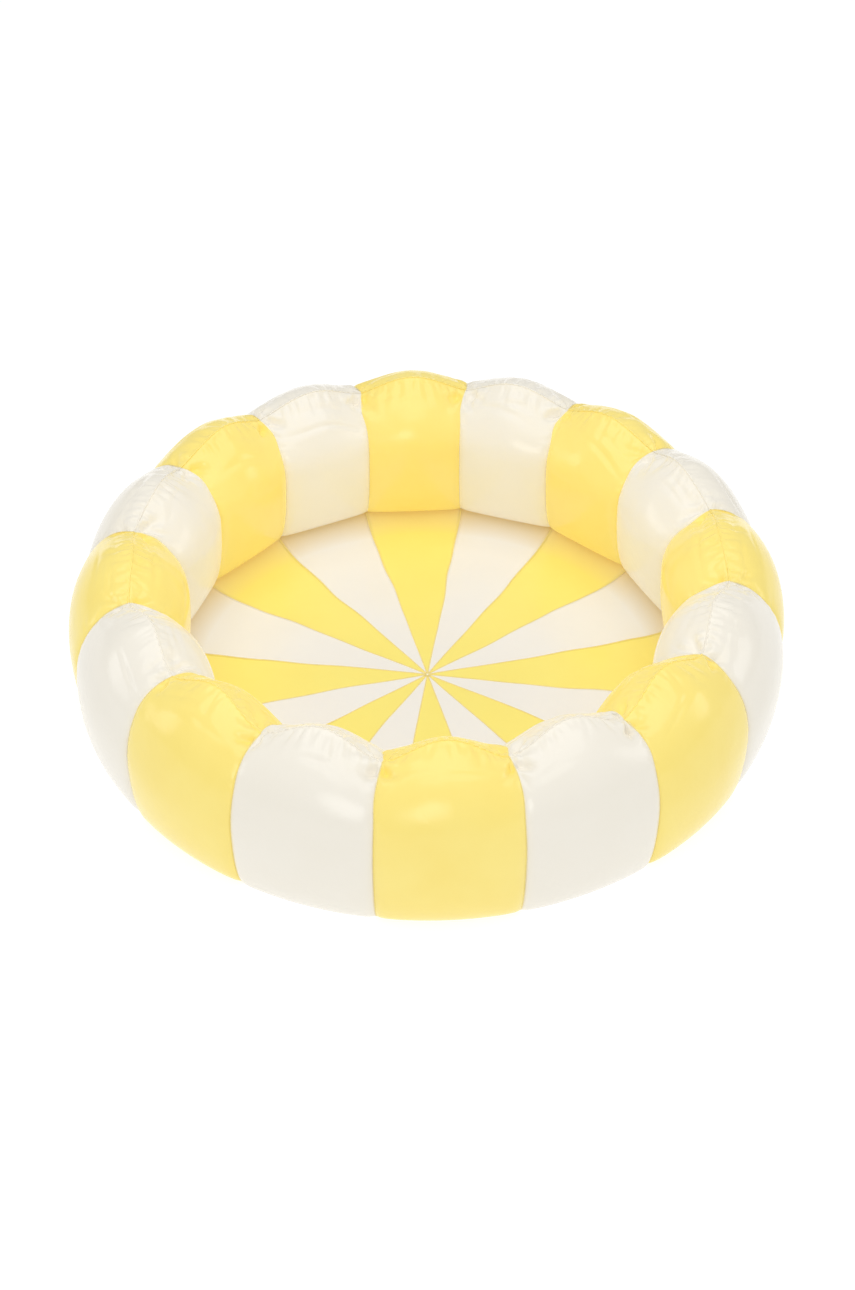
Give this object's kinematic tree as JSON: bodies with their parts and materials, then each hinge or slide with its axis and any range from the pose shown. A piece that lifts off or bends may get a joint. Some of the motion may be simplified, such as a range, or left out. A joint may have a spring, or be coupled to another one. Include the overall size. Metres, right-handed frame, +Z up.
{
  "type": "inflatable paddling pool",
  "caption": "Round inflatable paddling pool: one tall ring of puffed two-colour panels, a striped sector floor and a push-in air valve with a hinged plug.",
  "frame": {"origin": "on the ground, under the middle of the floor", "axes": "+Z up; +Y towards the middle of the panel that holds the air valve; panels are numbered clockwise from it, seen from above"},
  "size_m": [1.5, 1.5054, 0.37],
  "materials": {
    "film_yellow": "glossy soft PVC film, pale yellow",
    "film_cream": "glossy soft PVC film, cream",
    "film_clear": "satin milky PVC film",
    "valve": "satin moulded soft PVC, milky white"
  },
  "bodies": {
    "pool": {"outer_panel_01": "film_yellow", "outer_panel_02": "film_cream", "outer_panel_03": "film_yellow", "outer_panel_04": "film_cream", "outer_panel_05": "film_yellow", "outer_panel_06": "film_cream", "outer_panel_07": "film_yellow", "outer_panel_08": "film_cream", "outer_panel_09": "film_yellow", "outer_panel_10": "film_cream", "outer_panel_11": "film_yellow", "outer_panel_12": "film_cream", "outer_panel_13": "film_yellow", "outer_panel_14": "film_cream", "outer_panel_15": "film_yellow", "outer_panel_16": "film_cream", "inner_panel_01": "film_yellow", "inner_panel_02": "film_cream", "inner_panel_03": "film_yellow", "inner_panel_04": "film_cream", "inner_panel_05": "film_yellow", "inner_panel_06": "film_cream", "inner_panel_07": "film_yellow", "inner_panel_08": "film_cream", "inner_panel_09": "film_yellow", "inner_panel_10": "film_cream", "inner_panel_11": "film_yellow", "inner_panel_12": "film_cream", "inner_panel_13": "film_yellow", "inner_panel_14": "film_cream", "inner_panel_15": "film_yellow", "inner_panel_16": "film_cream", "floor_sector_01": "film_yellow", "floor_sector_02": "film_cream", "floor_sector_03": "film_yellow", "floor_sector_04": "film_cream", "floor_sector_05": "film_yellow", "floor_sector_06": "film_cream", "floor_sector_07": "film_yellow", "floor_sector_08": "film_cream", "floor_sector_09": "film_yellow", "floor_sector_10": "film_cream", "floor_sector_11": "film_yellow", "floor_sector_12": "film_cream", "floor_sector_13": "film_yellow", "floor_sector_14": "film_cream", "floor_sector_15": "film_yellow", "floor_sector_16": "film_cream", "air_webs_1": "film_clear", "air_webs_2": "film_clear", "air_webs_3": "film_clear", "air_webs_4": "film_clear", "valve_flange": "valve"},
    "valve_stem": {"valve_stem": "valve"},
    "valve_plug": {"valve_plug": "valve", "valve_strap": "valve"},
    "valve_flap": {"valve_flap": "valve"}
  },
  "joints": [
    {"name": "stem_pull_out", "type": "slide", "parent": "pool", "child": "valve_stem", "axis": [0, 1, 0], "range_m": [0, 0.014]},
    {"name": "plug_open", "type": "hinge", "parent": "valve_stem", "child": "valve_plug", "pos_m": [0, 0.7544, 0.1736], "axis": [1, 0, 0], "range_deg": [0, 150]},
    {"name": "flap_open", "type": "hinge", "parent": "valve_stem", "child": "valve_flap", "pos_m": [0, 0.7252, 0.1674], "axis": [-1, 0, 0], "range_deg": [0, 60], "stiffness_Nm_per_rad": 0.0002}
  ]
}
